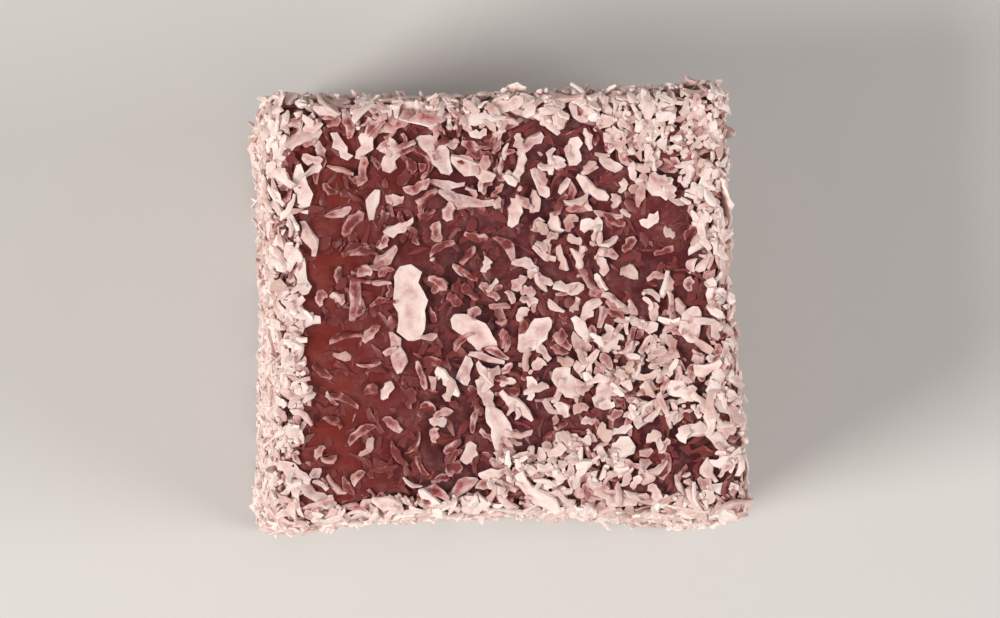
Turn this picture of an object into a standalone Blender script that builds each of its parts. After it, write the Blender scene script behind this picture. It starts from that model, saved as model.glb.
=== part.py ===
"""A cube of rose Turkish delight, cut from a slab and rolled in desiccated coconut.

It is one solid: a soft rounded block, out to the packed inner layer of its coconut, with
the larger chips and shreds of coconut fused on. The block is a little skewed and pinched,
as a soft sweet is after cutting, and it stands on a flat underside at z = 0.
+X is to the right and +Y away from the viewer when the cube is seen from above.
"""

import math
import random

import bmesh
import bpy
from mathutils import Matrix, Vector, noise

MM = 0.001

# Block, out to the packed inner layer of coconut
HALF_WIDTH = 11.1 * MM
HALF_DEPTH = 10.1 * MM
HEIGHT = 18.4 * MM
EDGE_RADIUS = 0.95 * MM
PINCH = 0.42 * MM  # how far each cut side hollows between its corners
FRONT_PINCH = 0.85 * MM
WAIST = 0.25 * MM  # how far the sides draw in at mid height
SLUMP = 0.35 * MM  # how far the foot spreads past the top
DISH = 0.5 * MM  # how far the top sinks in its middle
LUMP = 0.22 * MM
LUMP_SPACING = 5.0 * MM
LUMP_SEED = 3
# How far each corner of the top is pulled in X and Y, by the signs of its own X and Y
CORNER_PULL = {
    (-1, -1): (0.05 * MM, -0.85 * MM),
    (1, -1): (0.10 * MM, -0.35 * MM),
    (1, 1): (-1.10 * MM, 0.25 * MM),
    (-1, 1): (-0.80 * MM, -0.60 * MM),
}
FOOT_PULL = 0.3  # of that pull, at the foot

# Lattice of the block
LATTICE = 10
EDGE_CELLS = 2  # lattice cells between each flat face and the block's edge
FLAT_WITHIN = 0.02 * MM  # what is this near the foot is set flat on it

# Coconut, larger kind first. Sizes in mm run from the smallest to the largest, and apart is
# the least distance between middles. A flake has a ring of corners at each station of its
# length, in halves of its width and thickness, and ends in a point unless it is blunt.
CHIPS = {
    "count": 24,
    "length": (2.6, 3.8),
    "width": (1.1, 1.8),
    "thick": 0.50,
    "apart": 3.0,
    "bend": (-0.01, 0.06),
    "taper": (0.35, 0.65),
    "stations": (-1, -0.35, 0.35, 1),
    "corners": [(-1, -1), (1, -1), (0.8, 1), (-0.8, 1)],
    "blunt": True,
}
SHREDS = {
    "count": 225,
    "length": (1.8, 3.1),
    "width": (0.6, 0.95),
    "thick": 0.62,
    "apart": 1.4,
    "bend": (-0.02, 0.10),
    "taper": (0.2, 0.5),
    "stations": (-1, -0.5, 0.5, 1),
    "corners": [(-1, -0.8), (1, -0.8), (0.15, 1)],
    "blunt": False,
}
# The flakes that lie on the top inside its rim, in mm and degrees: X, Y, length, width and turn from X
TOP_CHIPS = [
    (-4.8, 0.2, 3.7, 1.6, 92),
    (-3.9, 9.4, 2.8, 1.1, -12),
    (-3.2, 7.6, 2.4, 1.1, -50),
    (1.2, -1.4, 2.2, 1.1, 42),
    (-1.7, -1.3, 2.8, 1.1, -37),
    (2.6, -4.1, 1.8, 1.1, -50),
    (4.6, -4.3, 2.1, 1.0, 65),
    (9.2, -1.1, 1.8, 1.1, 80),
    (-0.6, -6.6, 2.9, 0.9, -77),
    (2.7, -7.1, 1.7, 0.9, -25),
    (4.0, 9.5, 1.4, 0.9, 85),
]
TOP_SHREDS = [
    (-1.5, 6.8, 2.3, 0.7, -22),
    (-5.6, -2.2, 2.1, 0.6, -83),
    (-5.3, 7.4, 1.6, 0.7, 75),
    (-1.9, 5.2, 2.8, 0.6, -8),
    (-5.1, 3.8, 1.6, 0.5, 20),
    (-6.0, 2.3, 1.8, 0.5, 35),
    (-3.1, -3.8, 1.7, 0.6, -50),
    (-2.2, -3.3, 1.4, 0.6, 80),
    (0.2, -5.2, 2.1, 0.5, -45),
    (-1.3, -4.5, 1.6, 0.6, -70),
    (8.9, -6.1, 1.6, 0.7, 15),
    (-6.4, 5.0, 1.5, 0.7, 80),
    (-1.2, -2.6, 1.8, 0.5, -15),
    (1.1, 2.1, 1.4, 0.5, -20),
    (3.2, 0.8, 1.5, 0.6, -10),
    (4.2, -0.3, 1.4, 0.6, 45),
    (6.8, -1.2, 1.5, 0.7, -20),
    (5.1, -2.0, 1.4, 0.7, 30),
    (7.7, -2.7, 1.5, 0.7, 30),
    (6.3, -3.2, 1.5, 0.6, 70),
    (8.5, -4.2, 1.6, 0.6, -30),
    (6.6, -5.4, 1.7, 0.7, 60),
    (5.1, -7.3, 1.5, 0.8, 45),
    (3.7, -1.3, 1.4, 0.6, -60),
    (0.6, 4.7, 1.4, 0.7, 75),
    (4.5, 5.6, 1.9, 0.5, -38),
    (7.7, 5.5, 1.8, 0.5, -35),
    (0.9, 6.8, 1.5, 0.6, 70),
    (1.9, 6.0, 1.6, 0.5, -60),
    (1.4, 7.9, 1.6, 0.6, 35),
    (3.6, 7.4, 1.4, 0.6, 80),
    (-6.5, 8.1, 1.7, 0.7, 70),
    (-7.8, 7.9, 1.5, 0.6, -60),
    (-7.5, 0.6, 2.4, 0.6, 85),
]
SEED = 7
MOST_TRIES = 12000
MOST_SWAY = 0.1  # of a flake's length, sideways
MOST_TWIST = 0.3
MOST_LEAN = 0.25  # how far a flake's widest place may lie off its middle
GIRTH = (0.88, 1.12)  # how unevenly the width varies along a flake
TAPER_POWER = 2.2  # how late a flake narrows towards its ends
THIN_END = 0.6  # of the thickness left where a flake has no width
SIZE_BIAS = 1.6  # above 1, small flakes outnumber large ones
SHARE_SUNK = 0.45  # of a flake's thickness, at its middle
MOST_TIP = math.radians(8)  # how far a flake tips out of the surface
RIM_FROM = 0.87  # of the half width, where the middles of the rim's flakes on the top start
RIM_INNER = 0.82  # of the half width, the furthest in that their ends reach
REACH = 0.97  # of the half width, where no flake's middle lies further out
MOST_PROUD = 0.45 * MM  # how far a flake's ends may stand out past the block's edges
FOOT_GAP = 0.35 * MM  # bare foot below the lowest flake
STEP = 0.02  # between the points of a face that a direction is taken from

JELLY_COLOUR = (0.18, 0.035, 0.035, 1.0)
JELLY_ROUGHNESS = 0.5

# Each face of the block: its outward axis, and the axes that u and v run along
FACES = {
    "top": (Vector((0, 0, 1)), Vector((1, 0, 0)), Vector((0, 1, 0))),
    "right": (Vector((1, 0, 0)), Vector((0, 1, 0)), Vector((0, 0, 1))),
    "back": (Vector((0, 1, 0)), Vector((-1, 0, 0)), Vector((0, 0, 1))),
    "left": (Vector((-1, 0, 0)), Vector((0, -1, 0)), Vector((0, 0, 1))),
    "front": (Vector((0, -1, 0)), Vector((1, 0, 0)), Vector((0, 0, 1))),
}
HALVES = Vector((HALF_WIDTH, HALF_DEPTH, HEIGHT / 2))


def clear_scene():
    for obj in list(bpy.data.objects):
        bpy.data.objects.remove(obj)


def rounded(cube_point):
    """A point of the cube from -1 to 1, moved onto the block with round edges, about its middle."""
    p = Vector(c * h for c, h in zip(cube_point, HALVES))
    core = Vector(
        max(EDGE_RADIUS - h, min(h - EDGE_RADIUS, c)) for c, h in zip(p, HALVES)
    )
    return core + (p - core).normalized() * EDGE_RADIUS


def settled(p):
    """A point of the even block, moved as the soft jelly has settled, with the foot at z = 0."""
    x, y, z = (c / h for c, h in zip(p, HALVES))
    rise = (z + 1) / 2
    pull = Vector((0, 0, 0))
    for (sign_x, sign_y), (move_x, move_y) in CORNER_PULL.items():
        share = (1 + sign_x * x) * (1 + sign_y * y) / 4
        pull += Vector((move_x, move_y, 0)) * share
    pull *= FOOT_PULL + (1 - FOOT_PULL) * rise
    waist = WAIST * (1 - z * z) - SLUMP * (1 - rise)
    pull.x -= x * (PINCH * (1 - y * y) + waist)
    pull.y -= y * ((FRONT_PINCH if y < 0 else PINCH) * (1 - x * x) + waist)
    pull.z -= DISH * max(0, 1 - x * x) * max(0, 1 - y * y) * rise**4
    lump = noise.noise_vector(p / LUMP_SPACING) * LUMP
    lump.z *= rise  # the underside stays flat
    moved = p + pull + lump * min(1, 4 * rise)
    moved.z += HALVES.z
    return moved


def even_point(face, u, v):
    """The point at u and v of a face, each from -1 to 1, before the block settled."""
    out, across, up = FACES[face]
    return rounded(out + across * u + up * v)


def on_block(face, u, v):
    return settled(even_point(face, u, v))


def frame_at(face, u, v):
    """The surface point there, with its outward normal and the direction of u along it."""
    here = on_block(face, u, v)
    along_u = on_block(face, u + STEP, v) - on_block(face, u - STEP, v)
    along_v = on_block(face, u, v + STEP) - on_block(face, u, v - STEP)
    normal = along_u.cross(along_v).normalized()
    return here, normal, (along_u - normal * along_u.dot(normal)).normalized()


def spaced(c):
    """An even lattice coordinate, moved so that EDGE_CELLS cells lie on each round edge."""
    flat_even = 1 - 2 * EDGE_CELLS / LATTICE
    flat_true = 1 - EDGE_RADIUS / HALF_WIDTH
    if abs(c) <= flat_even:
        return c * flat_true / flat_even
    share = (abs(c) - flat_even) / (1 - flat_even)
    return math.copysign(flat_true + share * (1 - flat_true), c)


def build_block():
    bm = bmesh.new()
    bmesh.ops.create_cube(bm, size=2)
    bmesh.ops.subdivide_edges(bm, edges=bm.edges, cuts=LATTICE - 1, use_grid_fill=True)
    for vertex in bm.verts:
        vertex.co = settled(rounded([spaced(c) for c in vertex.co]))
    lowest = min(vertex.co.z for vertex in bm.verts)
    for vertex in bm.verts:
        if vertex.co.z < lowest + FLAT_WITHIN:
            vertex.co.z = 0.0
    bmesh.ops.triangulate(bm, faces=bm.faces)
    mesh = bpy.data.meshes.new("turkish_delight_cube")
    bm.to_mesh(mesh)
    bm.free()
    block = bpy.data.objects.new("turkish_delight_cube", mesh)
    bpy.context.collection.objects.link(block)
    return block


def sized(bounds, share):
    """The length that far from the smallest to the largest of a flake's bounds, in metres."""
    return (bounds[0] + share * (bounds[1] - bounds[0])) * MM


def draw_place(draw):
    """A face and a place on it: a face as often as its area asks, and the top only along its rim."""
    areas = {
        "top": HALF_WIDTH * HALF_DEPTH,
        "right": HALF_DEPTH * HEIGHT / 2,
        "back": HALF_WIDTH * HEIGHT / 2,
        "left": HALF_DEPTH * HEIGHT / 2,
        "front": HALF_WIDTH * HEIGHT / 2,
    }
    face = draw.choices(list(areas), weights=list(areas.values()))[0]
    u = draw.uniform(-REACH, REACH)
    v = draw.uniform(-REACH, REACH)
    rim = math.copysign(draw.uniform(RIM_FROM, REACH), draw.uniform(-1, 1))
    if face == "top":
        u, v = draw.choice([(u, rim), (rim, v)])
    return face, u, v


def draw_flake(kind, draw):
    """One flake of a kind: its size, how it lies, and its curve."""
    size = draw.random() ** SIZE_BIAS
    return {
        "kind": kind,
        "length": sized(kind["length"], size),
        "width": sized(kind["width"], size),
        "turn": draw.uniform(0, math.tau),
        "tip": draw.uniform(-MOST_TIP, MOST_TIP),
        "bend": draw.uniform(*kind["bend"]),
        "sway": draw.uniform(-MOST_SWAY, MOST_SWAY),
        "twist": draw.uniform(-MOST_TWIST, MOST_TWIST),
        "taper": draw.uniform(*kind["taper"]),
        "lean": draw.uniform(-MOST_LEAN, MOST_LEAN),
        "girths": [draw.uniform(*GIRTH) for _ in kind["stations"]],
    }


def lying_at(face, u, v, flake):
    """The matrix that lays a flake there, turned and tipped as it says."""
    point, normal, along = frame_at(face, u, v)
    x_axis = Matrix.Rotation(flake["turn"], 3, normal) @ along
    y_axis = normal.cross(x_axis)
    turned = Matrix((x_axis, y_axis, normal)).transposed()
    tipped = Matrix.Rotation(flake["tip"], 3, y_axis) @ turned
    rise = flake["kind"]["thick"] * MM * (0.5 - SHARE_SUNK)
    return Matrix.Translation(point + normal * rise) @ tipped.to_4x4()


def fits(face, u, v, flake, place, taken):
    """True where a flake is clear of the others and the foot, in the rim, and not too proud."""
    middle = place.translation
    if any((middle - other).length < flake["kind"]["apart"] * MM for other in taken):
        return False
    shift = on_block(face, u, v) - even_point(face, u, v)
    for side in (-1, 1):
        end = place @ Vector((side * flake["length"] / 2, 0, 0))
        edge = abs(place.col[1].z) * flake["width"] / 2
        if end.z - edge < FOOT_GAP + flake["kind"]["thick"] * MM / 2:
            return False
        even = end - shift
        if face == "top" and max(abs(even.x) / HALF_WIDTH, abs(even.y) / HALF_DEPTH) < RIM_INNER:
            return False
        if max(abs(c) - h for c, h in zip(even, HALVES)) > MOST_PROUD:
            return False
    return True


def placed(kind, rows, taken, draw):
    """The top's own flakes of one kind, as pairs of a flake and the matrix that lays it."""
    pairs = []
    for x, y, length, width, degrees in rows:
        flake = draw_flake(kind, draw)
        flake.update(length=length * MM, width=width * MM, turn=math.radians(degrees))
        place = lying_at("top", x * MM / HALF_WIDTH, y * MM / HALF_DEPTH, flake)
        taken.append(place.translation)
        pairs.append((flake, place))
    return pairs


def scattered(kind, taken, draw):
    """Flakes of one kind by chance, as such pairs, each clear of the others, and no chips on the top."""
    pairs = []
    for _ in range(MOST_TRIES):
        if len(pairs) == kind["count"]:
            break
        face, u, v = draw_place(draw)
        flake = draw_flake(kind, draw)
        place = lying_at(face, u, v, flake)
        if (kind is SHREDS or face != "top") and fits(face, u, v, flake, place, taken):
            taken.append(place.translation)
            pairs.append((flake, place))
    return pairs


def flake_mesh(flake):
    """A curved flake along X: rings of corners that narrow towards both ends."""
    kind = flake["kind"]
    bm = bmesh.new()
    loops = []
    for s, girth in zip(kind["stations"], flake["girths"]):
        share = 1 - flake["taper"] * abs(s + flake["lean"] * (1 - s * s)) ** TAPER_POWER
        half_width = flake["width"] / 2 * share * girth
        half_thick = kind["thick"] * MM / 2 * (THIN_END + (1 - THIN_END) * share)
        offset = Vector((s / 2, flake["sway"] * s * s, flake["bend"] * s * s))
        middle = offset * flake["length"]
        turn = Matrix.Rotation(flake["twist"] * s, 3, "X")
        corners = kind["corners"] if abs(s) < 1 or kind["blunt"] else [(0, 0)]
        loops.append(
            [
                bm.verts.new(middle + turn @ Vector((0, a * half_width, b * half_thick)))
                for a, b in corners
            ]
        )
    for first, second in zip(loops, loops[1:]):
        count = max(len(first), len(second))
        for k in range(count):
            after = (k + 1) % count
            ring = [first[k % len(first)], first[after % len(first)]]
            ring += [second[after % len(second)], second[k % len(second)]]
            bm.faces.new(list(dict.fromkeys(ring)))
    if kind["blunt"]:
        bm.faces.new(loops[0][::-1])
        bm.faces.new(loops[-1])
    bmesh.ops.recalc_face_normals(bm, faces=bm.faces)
    bmesh.ops.triangulate(bm, faces=bm.faces)
    mesh = bpy.data.meshes.new("flake")
    bm.to_mesh(mesh)
    bm.free()
    return mesh


def keep_largest_shell(mesh):
    """Deletes every shell but the largest, which drops loose scraps and fills sealed hollows."""
    bm = bmesh.new()
    bm.from_mesh(mesh)
    left = set(bm.verts)
    shells = []
    while left:
        shell = [left.pop()]
        for vertex in shell:
            for edge in vertex.link_edges:
                other = edge.other_vert(vertex)
                if other in left:
                    left.remove(other)
                    shell.append(other)
        shells.append(shell)
    shells.sort(key=len)
    spare = [vertex for shell in shells[:-1] for vertex in shell]
    bmesh.ops.delete(bm, geom=spare, context="VERTS")
    bm.to_mesh(mesh)
    bm.free()


def fuse(block, collection):
    """Joins the collection's flakes to the block in one Boolean union, then removes them."""
    union = block.modifiers.new("coconut", "BOOLEAN")
    union.operation = "UNION"
    union.operand_type = "COLLECTION"
    union.collection = collection
    union.solver = "MANIFOLD"
    bpy.context.view_layer.update()
    evaluated = block.evaluated_get(bpy.context.evaluated_depsgraph_get())
    fused = bpy.data.meshes.new_from_object(evaluated)
    block.modifiers.clear()
    block.data = fused
    for flake in list(collection.objects):
        bpy.data.objects.remove(flake)
    bpy.data.collections.remove(collection)
    keep_largest_shell(fused)


def add_material(block):
    material = bpy.data.materials.new("rose_jelly")
    material.use_nodes = True
    shader = material.node_tree.nodes["Principled BSDF"]
    shader.inputs["Base Color"].default_value = JELLY_COLOUR
    shader.inputs["Roughness"].default_value = JELLY_ROUGHNESS
    shader.inputs["Metallic"].default_value = 0.0
    block.data.materials.clear()
    block.data.materials.append(material)


def build():
    clear_scene()
    noise.seed_set(LUMP_SEED)
    block = build_block()
    coconut = bpy.data.collections.new("coconut")
    bpy.context.scene.collection.children.link(coconut)
    draw = random.Random(SEED)
    taken = []
    pairs = placed(CHIPS, TOP_CHIPS, taken, draw) + placed(SHREDS, TOP_SHREDS, taken, draw)
    pairs += scattered(CHIPS, taken, draw) + scattered(SHREDS, taken, draw)
    for flake, place in pairs:
        mesh = flake_mesh(flake)
        mesh.transform(place)
        coconut.objects.link(bpy.data.objects.new("flake", mesh))
    fuse(block, coconut)
    add_material(block)


build()
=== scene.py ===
"""The looks of a cube of rose Turkish delight rolled in desiccated coconut.

The jelly is one fine mesh on the block's own shape. The coconut is many thousands of separate
flakes in five kinds, each a closed mesh at true size. They are laid one after another on a map
of the coat's height, so that each rests on the jelly or on the flakes before it.
"""

import math
import random

import bpy
import numpy as np
from mathutils import Matrix, Vector, kdtree, noise


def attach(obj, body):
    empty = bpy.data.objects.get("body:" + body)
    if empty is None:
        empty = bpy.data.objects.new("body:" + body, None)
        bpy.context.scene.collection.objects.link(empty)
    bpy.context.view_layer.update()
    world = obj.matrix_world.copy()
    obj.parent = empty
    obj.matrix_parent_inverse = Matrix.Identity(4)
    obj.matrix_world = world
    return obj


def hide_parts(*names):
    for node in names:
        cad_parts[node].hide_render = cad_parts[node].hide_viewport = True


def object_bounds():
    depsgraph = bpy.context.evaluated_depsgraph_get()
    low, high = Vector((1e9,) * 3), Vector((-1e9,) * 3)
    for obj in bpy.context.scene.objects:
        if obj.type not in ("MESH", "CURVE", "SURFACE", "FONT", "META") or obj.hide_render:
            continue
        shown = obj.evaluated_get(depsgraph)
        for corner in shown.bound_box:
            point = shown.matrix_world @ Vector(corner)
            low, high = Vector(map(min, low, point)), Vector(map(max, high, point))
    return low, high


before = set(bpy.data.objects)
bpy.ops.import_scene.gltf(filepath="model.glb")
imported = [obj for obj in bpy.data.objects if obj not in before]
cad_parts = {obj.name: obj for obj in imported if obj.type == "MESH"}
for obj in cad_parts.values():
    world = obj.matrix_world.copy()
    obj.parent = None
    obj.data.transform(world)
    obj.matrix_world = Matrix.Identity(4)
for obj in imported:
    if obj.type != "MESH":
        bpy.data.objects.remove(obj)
cad_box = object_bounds()

NODE = "turkish_delight_cube"
MM = 0.001

# The block, as in the part's source, with the seed that fixes where its lumps lie
HALF_WIDTH = 11.1 * MM
HALF_DEPTH = 10.1 * MM
HEIGHT = 18.4 * MM
EDGE_RADIUS = 0.95 * MM
PINCH = 0.42 * MM
FRONT_PINCH = 0.85 * MM
WAIST = 0.25 * MM
SLUMP = 0.35 * MM
DISH = 0.5 * MM
LUMP = 0.22 * MM
LUMP_SPACING = 5.0 * MM
LUMP_SEED = 3
CORNER_PULL = {
    (-1, -1): (0.05 * MM, -0.85 * MM),
    (1, -1): (0.10 * MM, -0.35 * MM),
    (1, 1): (-1.10 * MM, 0.25 * MM),
    (-1, 1): (-0.80 * MM, -0.60 * MM),
}
FOOT_PULL = 0.3
FACES = {
    "top": (Vector((0, 0, 1)), Vector((1, 0, 0)), Vector((0, 1, 0))),
    "right": (Vector((1, 0, 0)), Vector((0, 1, 0)), Vector((0, 0, 1))),
    "back": (Vector((0, 1, 0)), Vector((-1, 0, 0)), Vector((0, 0, 1))),
    "left": (Vector((-1, 0, 0)), Vector((0, -1, 0)), Vector((0, 0, 1))),
    "front": (Vector((0, -1, 0)), Vector((1, 0, 0)), Vector((0, 0, 1))),
    "under": (Vector((0, 0, -1)), Vector((1, 0, 0)), Vector((0, -1, 0))),
}
HALVES = Vector((HALF_WIDTH, HALF_DEPTH, HEIGHT / 2))

# The large flakes that the part's source fuses on, by the same rule and draws. Sizes are in mm,
# and the rows for the top give X, Y, length, width and turn from X in degrees.
CHIPS = {
    "count": 24,
    "length": (2.6, 3.8),
    "width": (1.1, 1.8),
    "thick": 0.50,
    "apart": 3.0,
    "bend": (-0.01, 0.06),
    "taper": (0.35, 0.65),
}
SHREDS = {
    "count": 225,
    "length": (1.8, 3.1),
    "width": (0.6, 0.95),
    "thick": 0.62,
    "apart": 1.4,
    "bend": (-0.02, 0.10),
    "taper": (0.2, 0.5),
}
TOP_CHIPS = [
    (-4.8, 0.2, 3.7, 1.6, 92),
    (-3.9, 9.4, 2.8, 1.1, -12),
    (-3.2, 7.6, 2.4, 1.1, -50),
    (1.2, -1.4, 2.2, 1.1, 42),
    (-1.7, -1.3, 2.8, 1.1, -37),
    (2.6, -4.1, 1.8, 1.1, -50),
    (4.6, -4.3, 2.1, 1.0, 65),
    (9.2, -1.1, 1.8, 1.1, 80),
    (-0.6, -6.6, 2.9, 0.9, -77),
    (2.7, -7.1, 1.7, 0.9, -25),
    (4.0, 9.5, 1.4, 0.9, 85),
]
TOP_SHREDS = [
    (-1.5, 6.8, 2.3, 0.7, -22),
    (-5.6, -2.2, 2.1, 0.6, -83),
    (-5.3, 7.4, 1.6, 0.7, 75),
    (-1.9, 5.2, 2.8, 0.6, -8),
    (-5.1, 3.8, 1.6, 0.5, 20),
    (-6.0, 2.3, 1.8, 0.5, 35),
    (-3.1, -3.8, 1.7, 0.6, -50),
    (-2.2, -3.3, 1.4, 0.6, 80),
    (0.2, -5.2, 2.1, 0.5, -45),
    (-1.3, -4.5, 1.6, 0.6, -70),
    (8.9, -6.1, 1.6, 0.7, 15),
    (-6.4, 5.0, 1.5, 0.7, 80),
    (-1.2, -2.6, 1.8, 0.5, -15),
    (1.1, 2.1, 1.4, 0.5, -20),
    (3.2, 0.8, 1.5, 0.6, -10),
    (4.2, -0.3, 1.4, 0.6, 45),
    (6.8, -1.2, 1.5, 0.7, -20),
    (5.1, -2.0, 1.4, 0.7, 30),
    (7.7, -2.7, 1.5, 0.7, 30),
    (6.3, -3.2, 1.5, 0.6, 70),
    (8.5, -4.2, 1.6, 0.6, -30),
    (6.6, -5.4, 1.7, 0.7, 60),
    (5.1, -7.3, 1.5, 0.8, 45),
    (3.7, -1.3, 1.4, 0.6, -60),
    (0.6, 4.7, 1.4, 0.7, 75),
    (4.5, 5.6, 1.9, 0.5, -38),
    (7.7, 5.5, 1.8, 0.5, -35),
    (0.9, 6.8, 1.5, 0.6, 70),
    (1.9, 6.0, 1.6, 0.5, -60),
    (1.4, 7.9, 1.6, 0.6, 35),
    (3.6, 7.4, 1.4, 0.6, 80),
    (-6.5, 8.1, 1.7, 0.7, 70),
    (-7.8, 7.9, 1.5, 0.6, -60),
    (-7.5, 0.6, 2.4, 0.6, 85),
]
SOURCE_SEED = 7
SOURCE_STATIONS = 4
MOST_TRIES = 12000
MOST_SWAY = 0.1
MOST_TWIST = 0.3
MOST_LEAN = 0.25
GIRTH = (0.88, 1.12)
SIZE_BIAS = 1.6
SHARE_SUNK = 0.45
MOST_TIP = math.radians(8)
RIM_FROM = 0.87
RIM_INNER = 0.82
REACH = 0.97
MOST_PROUD = 0.45 * MM
FOOT_GAP = 0.35 * MM
STEP = 0.02

# The jelly
JELLY_CELLS = 90  # along each edge of the block
SIDE_INSET = 0.32 * MM  # how far the jelly lies inside the block where coconut coats it
CRUMB_RELIEF = 0.16 * MM
CRUMB_SPACING = 0.55 * MM
SKIN_RELIEF = 0.12 * MM
SKIN_SPACING = 1.5 * MM
SKIN_OCTAVES = (0.8, 2.2, 3)  # how fast they fade, how much finer each is, and their count
RIM_COAT = 0.75  # how far the crumb coats the jelly under the top's rim
JELLY_MARGIN = 0.02  # of a face's cell of the map
MAP_CELLS = (3, 2)

# The coat: samples all over the block, with the height of the coconut over each
SAMPLE_SPACING = 0.22 * MM
STOPS = (-1, -0.5, 0, 0.5, 1)  # where a flake is tried against the coat, along its half length
MOST_DROOP = 0.12  # of a flake's length, that it bends over an edge
MOST_SLOPE = 0.25
MOST_OUT = 0.6 * MM  # above the block, that a flake's end may stand
ROOM_SHARE = 0.013  # of the part's size, that the coconut may stand out past it on each side
FLOOR_GAP = 0.03 * MM
UP_FACING = 0.85  # the upward part of its normal, from which a flake counts as on the top
FLAKE_TOP = 0.35  # of its thickness, from its middle up to what lies on it
LEAST_REACH = 0.7 * SAMPLE_SPACING  # to each side of a flake's middle line, where it lifts the coat
SEARCH_MARGIN = 0.2 * MM
HIGHEST_WEIGHT = 0.7  # of the highest point under a flake, in how high it rests
MEAN_WEIGHT = 0.3
HIDDEN_FROM = 0.04 * MM  # a sample under this much coconut is out of sight
COVER_REACH = 0.8 * MM
NEVER_FULL = 0.99  # of the cover, above which the coat takes every flake
COAT_COVER = 0.87  # of the sides and rims, hidden by the coat's upper layers
COAT_SPREAD = 0.30  # how much more or less that is in clumps and between them
DENSE_FROM = 0.96  # of the top's cover, where the coat is built up as on its rim
CLUMP = 0.32 * MM  # how much higher the coat may pile up in clumps than between them
CLUMP_SPACING = 1.1 * MM

# The rim of dense coconut on the top: its width along each side
RIM_WIDTHS = {"left": 0.8 * MM, "right": 1.3 * MM, "back": 1.3 * MM, "front": 0.8 * MM}
RIM_RAGGED = 0.35 * MM
RIM_SPACING = 2.2 * MM
RIM_EASE = (0.8, 1.2)  # of its width, from where it thins to where it ends
RIM_FLAT = (0.97, 0.85)  # the upward part of the normal where the round edge's rim starts, and is full
# How much of the top the coconut hides: all over, and in oval patches of X, Y and half sizes in mm
TOP_COVER = 0.52
COVER_SPACING = 1.1 * MM
COVER_SPREAD = 0.34
PATCH_RAGGED = 0.55
PATCH_SPACING = 1.5 * MM
PATCH_SHIFT = Vector((7, 3, 0))  # parts the noise of the patches' edges from that of the cover
PATCH_EASE = (0.75, 1.25)  # of its half sizes, from where it fades to where it ends
PATCHES = [
    (-5.5, 0.0, 5.0, 12.0, 0.38),
    (6.0, -3.3, 4.2, 2.7, 0.86),
    (0.2, -3.4, 2.4, 1.6, 0.62),
    (1.9, -8.1, 3.4, 1.3, 1.0),
    (-3.4, 7.8, 3.2, 2.0, 0.82),
    (-7.4, 8.8, 2.2, 1.2, 0.62),
    (-0.6, 5.2, 3.6, 1.1, 0.55),
    (8.2, 8.7, 4.2, 2.7, 1.0),
    (9.9, 4.8, 2.6, 3.6, 1.0),
    (-9.0, 1.2, 0.9, 7.5, 0.16),
    (-6.9, -6.8, 2.7, 2.3, 0.02),
    (-8.2, -2.4, 1.5, 2.1, 0.03),
    (-8.4, 3.4, 1.1, 1.7, 0.12),
    (-2.0, 2.6, 2.3, 2.1, 0.08),
    (-3.3, -1.9, 0.7, 1.9, 0.08),
    (6.6, 2.6, 2.1, 2.7, 0.10),
    (8.7, -7.1, 1.6, 1.2, 0.05),
    (4.6, 5.8, 1.0, 1.0, 0.10),
    (0.9, -5.9, 0.8, 1.5, 0.08),
    (-2.3, -5.5, 0.9, 1.1, 0.12),
    (1.4, 7.8, 1.0, 0.5, 0.10),
    (-1.9, 9.2, 0.6, 0.7, 0.10),
]

# The kinds of coconut in the scene. A flake has rings of corners along it and a point in each end.
# Thick is in mm, slant how askew its ends are cut, cup how far its edges curl up, rough how uneven
# it is, round how late it narrows to its ends, and stain how much pinker its middle is.
KIND_VALUES = ("rings", "corners", "thick", "slant", "cup", "rough", "round", "stain")
KINDS = {
    "coconut_chips": (9, 10, 0.20, 0.3, 0.34, 0.16, 10, 0.9),
    "coconut_shreds": (6, 6, 0.22, 0.8, 0.12, 0.30, 24, 0.0),
    "coconut_slivers": (4, 5, 0.18, 0.9, 0.0, 0.34, 24, 0.0),
    "coconut_bits": (3, 6, 0.24, 1.0, 0.0, 0.36, 24, 0.0),
    "coconut_grains": (2, 5, 0.18, 0.6, 0.0, 0.28, 24, 0.0),
}
KINDS = {name: dict(zip(KIND_VALUES, values)) for name, values in KINDS.items()}

# Passes of the coating: kind, zone, tries, lengths, widths, and how high the coat may be there, in mm
PASSES_BEFORE = [
    ("coconut_bits", "coat", 3600, (0.45, 0.95), (0.32, 0.52), -0.06),
    ("coconut_grains", "coat", 3600, (0.3, 0.5), (0.22, 0.36), -0.1),
    ("coconut_slivers", "coat", 2600, (0.8, 1.5), (0.28, 0.44), 0.05),
]
PASSES_AFTER = [
    ("coconut_shreds", "coat", 3200, (0.9, 2.0), (0.3, 0.54), 0.26),
    ("coconut_slivers", "coat", 2600, (0.7, 1.5), (0.26, 0.42), 0.30),
    ("coconut_shreds", "top", 1700, (0.7, 1.5), (0.28, 0.5), 0.05),
    ("coconut_slivers", "top", 2600, (0.55, 1.1), (0.24, 0.4), 0.09),
    ("coconut_bits", "top", 4000, (0.35, 0.75), (0.26, 0.46), 0.07),
    ("coconut_bits", "coat", 2600, (0.4, 0.85), (0.3, 0.48), 0.36),
    ("coconut_bits", "under", 1300, (0.6, 1.4), (0.4, 0.65), -0.12),
    ("coconut_grains", "top", 2200, (0.2, 0.4), (0.2, 0.32), 0.2),
    ("coconut_grains", "coat", 6000, (0.26, 0.42), (0.2, 0.32), 0.42),
]
# Soaked flakes that lie sunk in the jelly and barely show
PASSES_SUNK = [
    ("coconut_slivers", "top", 700, (0.7, 1.6), (0.26, 0.44), 0.05),
    ("coconut_bits", "top", 700, (0.4, 0.9), (0.3, 0.5), 0.05),
]
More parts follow.
